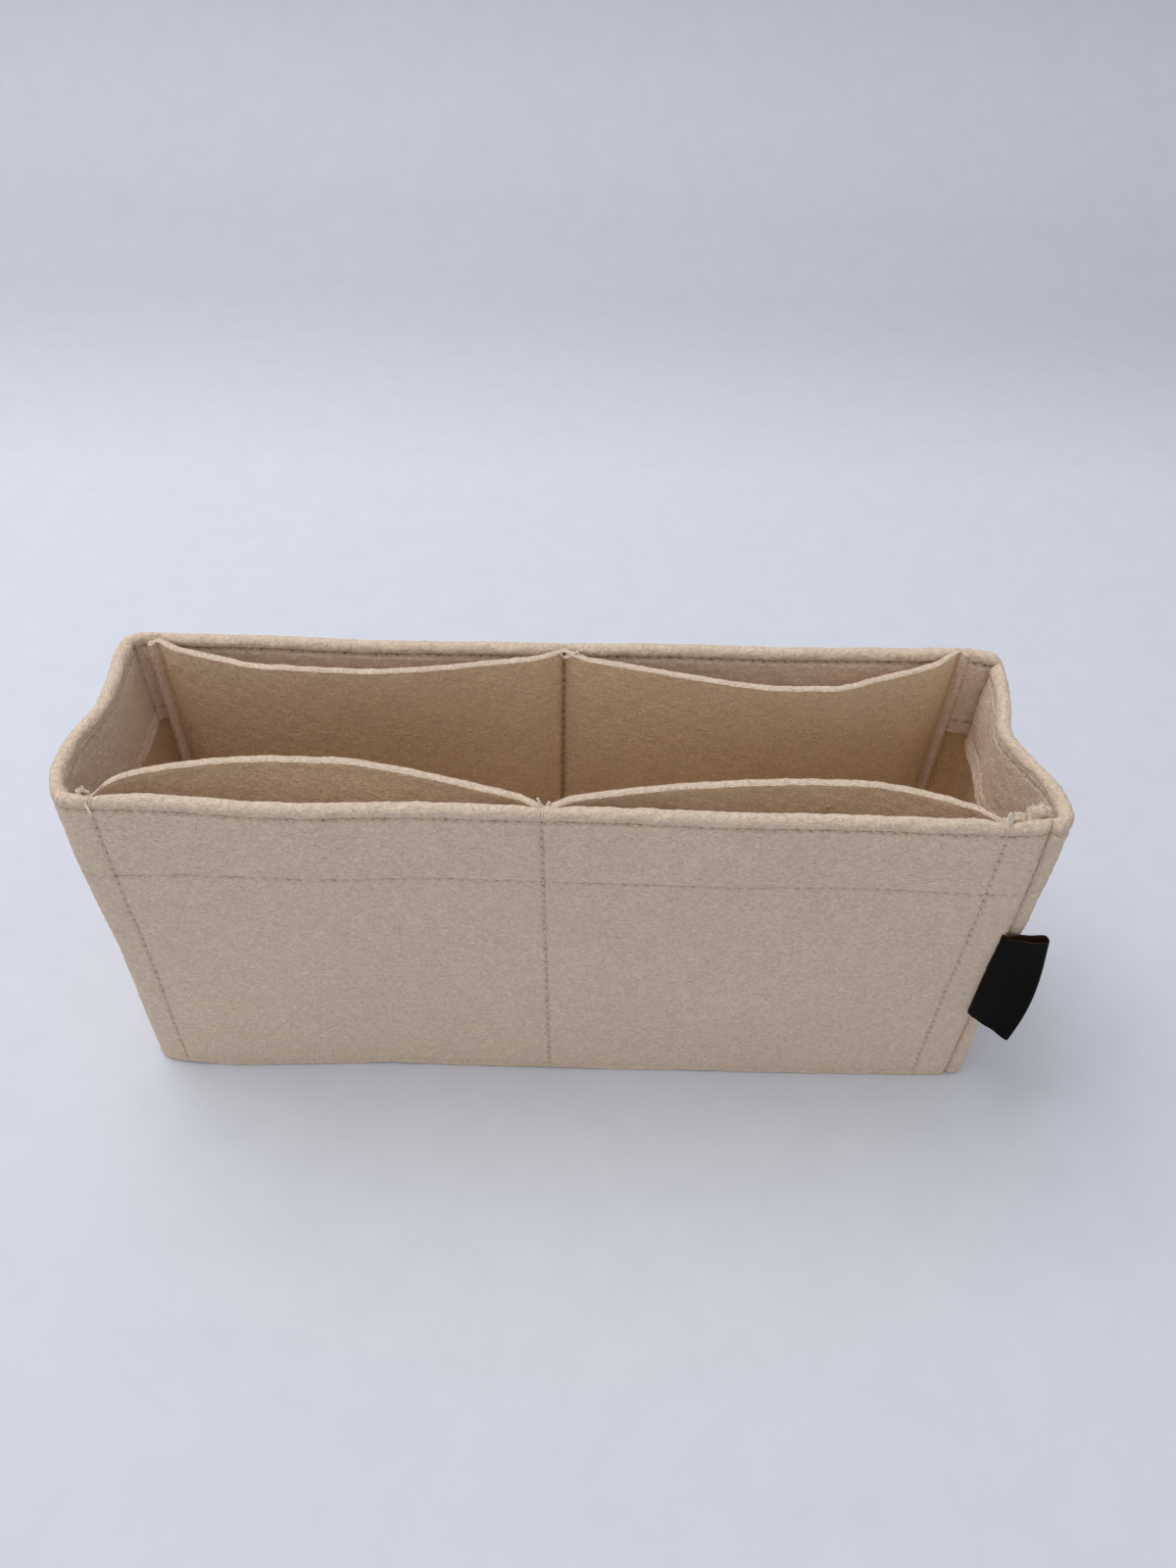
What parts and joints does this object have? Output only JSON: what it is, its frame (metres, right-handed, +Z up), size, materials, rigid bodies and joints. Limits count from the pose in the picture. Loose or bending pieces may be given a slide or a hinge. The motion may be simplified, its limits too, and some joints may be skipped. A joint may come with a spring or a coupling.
{
  "type": "purse organizer insert",
  "caption": "Open-topped felt box with a turned-in rim, bulging slip pockets sewn inside both long walls and a bare ribbon label; folds flat at its creased ends.",
  "frame": {"origin": "on the table, under the middle of the box", "axes": "+X along the length to the right, +Y to the back, +Z up"},
  "size_m": [0.2687, 0.0788, 0.118],
  "materials": {
    "felt_wrap": "pressed beige felt, fine loose fibres, matt",
    "felt_pocket": "pressed beige felt with paler cut edges, matt",
    "felt_base": "pressed beige felt, matt",
    "thread": "spun polyester sewing thread",
    "ribbon": "black satin ribbon, soft sheen"
  },
  "bodies": {
    "front": {"front_wall": "felt_wrap", "front_rim_stitch": "thread", "front_hem_stitch": "thread", "front_base_seam": "thread", "front_left_pocket_seam": "thread", "front_middle_pocket_seam": "thread", "front_right_pocket_seam": "thread", "front_pocket_foot_seam": "thread", "closing_seam": "thread", "base_panel": "felt_base"},
    "left_front": {"left_end_front": "felt_wrap", "left_end_front_rim_stitch": "thread", "left_end_front_hem_stitch": "thread", "left_end_front_base_seam": "thread"},
    "left_rear": {"left_end_rear": "felt_wrap", "left_end_rear_rim_stitch": "thread", "left_end_rear_hem_stitch": "thread", "left_end_rear_base_seam": "thread"},
    "back": {"back_wall": "felt_wrap", "back_rim_stitch": "thread", "back_hem_stitch": "thread", "back_base_seam": "thread", "back_left_pocket_seam": "thread", "back_middle_pocket_seam": "thread", "back_right_pocket_seam": "thread", "back_pocket_foot_seam": "thread"},
    "right_rear": {"right_end_rear": "felt_wrap", "right_end_rear_rim_stitch": "thread", "right_end_rear_hem_stitch": "thread", "right_end_rear_base_seam": "thread"},
    "right_front": {"right_end_front": "felt_wrap", "right_end_front_rim_stitch": "thread", "right_end_front_hem_stitch": "thread", "right_end_front_base_seam": "thread"},
    "front_left_pocket": {"front_left_pocket": "felt_pocket"},
    "front_right_pocket": {"front_right_pocket": "felt_pocket"},
    "back_left_pocket": {"back_left_pocket": "felt_pocket"},
    "back_right_pocket": {"back_right_pocket": "felt_pocket"},
    "label": {"ribbon_label": "ribbon"}
  },
  "joints": [
    {"name": "fold_flat", "type": "hinge", "parent": "front", "child": "left_front", "pos_m": [-0.1255, -0.0315, 0], "axis": [0, 0, -1], "range_deg": [0, 76], "deforming": ["base_panel"]},
    {"name": "left_crease", "type": "hinge", "parent": "left_front", "child": "left_rear", "pos_m": [-0.1325, 0, 0], "axis": [0, 0, -1], "range_deg": [-152, 0]},
    {"name": "back_left_corner", "type": "hinge", "parent": "left_rear", "child": "back", "pos_m": [-0.1255, 0.0315, 0], "axis": [0, 0, -1], "range_deg": [0, 76]},
    {"name": "back_right_corner", "type": "hinge", "parent": "back", "child": "right_rear", "pos_m": [0.1255, 0.0315, 0], "axis": [0, 0, -1], "range_deg": [0, 76]},
    {"name": "right_crease", "type": "hinge", "parent": "right_rear", "child": "right_front", "pos_m": [0.1325, 0, 0], "axis": [0, 0, -1], "range_deg": [-152, 0]},
    {"name": "front_left_pocket_mouth", "type": "hinge", "parent": "front", "child": "front_left_pocket", "pos_m": [0, -0.0325, 0.007], "axis": [1, 0, 0], "range_deg": [0, 8.07], "deforming": ["front_left_pocket"]},
    {"name": "front_right_pocket_mouth", "type": "hinge", "parent": "front", "child": "front_right_pocket", "pos_m": [0, -0.0325, 0.007], "axis": [1, 0, 0], "range_deg": [0, 5.61], "deforming": ["front_right_pocket"]},
    {"name": "back_left_pocket_mouth", "type": "hinge", "parent": "back", "child": "back_left_pocket", "pos_m": [0, 0.0325, 0.007], "axis": [-1, 0, 0], "range_deg": [0, 4.78], "deforming": ["back_left_pocket"]},
    {"name": "back_right_pocket_mouth", "type": "hinge", "parent": "back", "child": "back_right_pocket", "pos_m": [0, 0.0325, 0.007], "axis": [-1, 0, 0], "range_deg": [0, 6.43], "deforming": ["back_right_pocket"]},
    {"name": "label_flap", "type": "hinge", "parent": "front", "child": "label", "pos_m": [0.1252, -0.0371, 0], "axis": [0, 0, 1], "range_deg": [-140, 10]}
  ],
  "couplings": [
    {"joint": "left_crease", "follows": "fold_flat", "ratio": -2},
    {"joint": "back_left_corner", "follows": "fold_flat", "ratio": 1},
    {"joint": "back_right_corner", "follows": "fold_flat", "ratio": 1},
    {"joint": "right_crease", "follows": "fold_flat", "ratio": -2},
    {"joint": "front_left_pocket_mouth", "follows": "fold_flat", "ratio": 0.10618},
    {"joint": "front_right_pocket_mouth", "follows": "fold_flat", "ratio": 0.073816},
    {"joint": "back_left_pocket_mouth", "follows": "fold_flat", "ratio": 0.062895},
    {"joint": "back_right_pocket_mouth", "follows": "fold_flat", "ratio": 0.084605}
  ]
}
